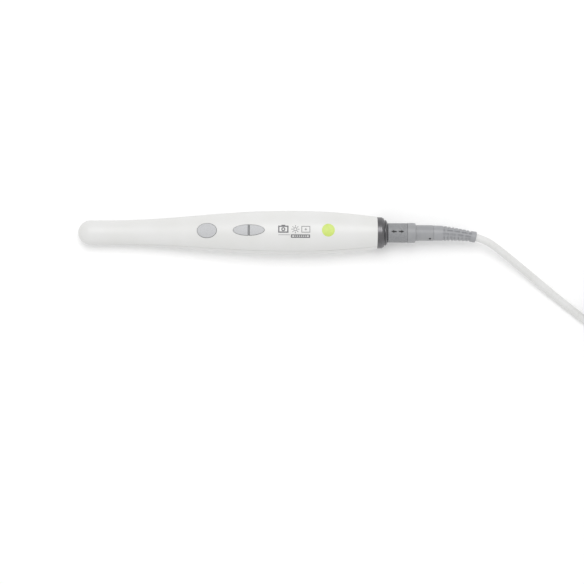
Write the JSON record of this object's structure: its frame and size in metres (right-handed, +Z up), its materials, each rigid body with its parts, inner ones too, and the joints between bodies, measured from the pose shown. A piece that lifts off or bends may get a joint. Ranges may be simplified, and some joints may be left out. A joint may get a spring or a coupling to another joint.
{
  "type": "intraoral camera",
  "caption": "Slim wand-shaped dental camera with an underside lens, three keys on top, an indicator lamp and a detachable coiled USB lead.",
  "frame": {"origin": "on the surface the camera lies on, under the middle of the box round the camera without its free cord", "axes": "+X along the handpiece from the tip to the lead, +Y across it, +Z up out of the keys"},
  "size_m": [0.4264, 0.103, 0.0222],
  "materials": {
    "white_shell": "moulded glossy white ABS",
    "seam_silicone": "grey silicone gasket",
    "dark_collar": "dark grey anodised collar",
    "key_grey": "light grey satin key caps",
    "divider_grey": "darker grey bar",
    "inner_plastic": "black moulded plastic",
    "black_rubber": "black sealing rings",
    "lime_lens": "lime indicator lens",
    "clear_plastic": "clear acrylic",
    "diffuser": "milky diffuser",
    "dark_bezel": "black anodised aluminium",
    "optical_glass": "coated optical glass",
    "circuit_board": "green solder mask",
    "led_yellow": "phosphor of the white LEDs",
    "chip_black": "black epoxy packages",
    "flex_amber": "amber flexible circuit",
    "connector_ivory": "ivory insulating plastic",
    "steel_screw": "steel screws",
    "nickel": "nickel plate",
    "gold_contact": "gold plated contacts",
    "grey_backshell": "smooth mid grey plastic",
    "grey_grip": "fine knurled mid grey plastic",
    "clamp_brass": "brass cable clamp",
    "grey_boot": "ribbed grey strain relief",
    "white_cord": "smooth white PVC jacket",
    "cord_tie": "light grey hook-and-loop strap",
    "usb_white": "white overmould",
    "usb_tongue": "white plastic tongue"
  },
  "bodies": {
    "handpiece": {"upper_shell": "white_shell", "lower_shell": "white_shell", "shell_gasket": "seam_silicone", "rear_collar": "dark_collar", "key_divider": "divider_grey", "key_carrier": "inner_plastic", "key_seals": "black_rubber", "switch_bodies": "inner_plastic", "indicator_lens": "lime_lens", "light_pipe": "clear_plastic", "indicator_led": "led_yellow", "light_ring": "diffuser", "window_bezel": "dark_bezel", "lens_window": "optical_glass", "head_leds": "led_yellow", "led_board": "circuit_board", "prism": "optical_glass", "optics_carrier": "inner_plastic", "lens_barrel": "dark_bezel", "lens_elements": "optical_glass", "image_sensor": "chip_black", "sensor_board": "circuit_board", "head_flex": "flex_amber", "main_board": "circuit_board", "board_screws": "steel_screw", "flex_connector": "connector_ivory", "image_processor": "chip_black", "memory_chip": "chip_black", "socket_shell": "nickel", "socket_insulator": "connector_ivory", "socket_contacts": "gold_contact"},
    "capture_button": {"capture_key": "key_grey", "capture_plunger": "inner_plastic"},
    "previous_button": {"previous_key": "key_grey", "previous_plunger": "inner_plastic"},
    "next_button": {"next_key": "key_grey", "next_plunger": "inner_plastic"},
    "cable_plug": {"plug_nose": "nickel", "latch_sleeve": "nickel", "plug_insulator": "connector_ivory", "plug_contacts": "gold_contact", "backshell": "grey_backshell", "cable_clamp": "clamp_brass", "clamp_screw": "steel_screw", "cable_core": "white_cord", "strain_relief": "grey_boot", "cord_lead": "white_cord", "cord_coil": "white_cord", "cord_tail": "white_cord", "cord_ties": "cord_tie", "usb_strain_relief": "usb_white", "usb_overmould": "usb_white", "usb_shell": "nickel", "usb_tongue": "usb_tongue", "usb_contacts": "gold_contact"},
    "release_collar": {"release_sleeve": "grey_grip", "sleeve_end_ring": "grey_backshell"}
  },
  "joints": [
    {"name": "capture_press", "type": "slide", "parent": "handpiece", "child": "capture_button", "axis": [0, 0, -1], "range_m": [0, 0.0005], "stiffness_N_per_m": 3000, "springref_m": -0.0002},
    {"name": "previous_press", "type": "slide", "parent": "handpiece", "child": "previous_button", "axis": [0, 0, -1], "range_m": [0, 0.0005], "stiffness_N_per_m": 3000, "springref_m": -0.0002},
    {"name": "next_press", "type": "slide", "parent": "handpiece", "child": "next_button", "axis": [0, 0, -1], "range_m": [0, 0.0005], "stiffness_N_per_m": 3000, "springref_m": -0.0002},
    {"name": "plug_pull", "type": "slide", "parent": "handpiece", "child": "cable_plug", "axis": [1, 0, 0], "range_m": [0, 0.012]},
    {"name": "sleeve_pull", "type": "slide", "parent": "cable_plug", "child": "release_collar", "axis": [1, 0, 0], "range_m": [0, 0.0018], "stiffness_N_per_m": 1500, "springref_m": -0.001}
  ]
}
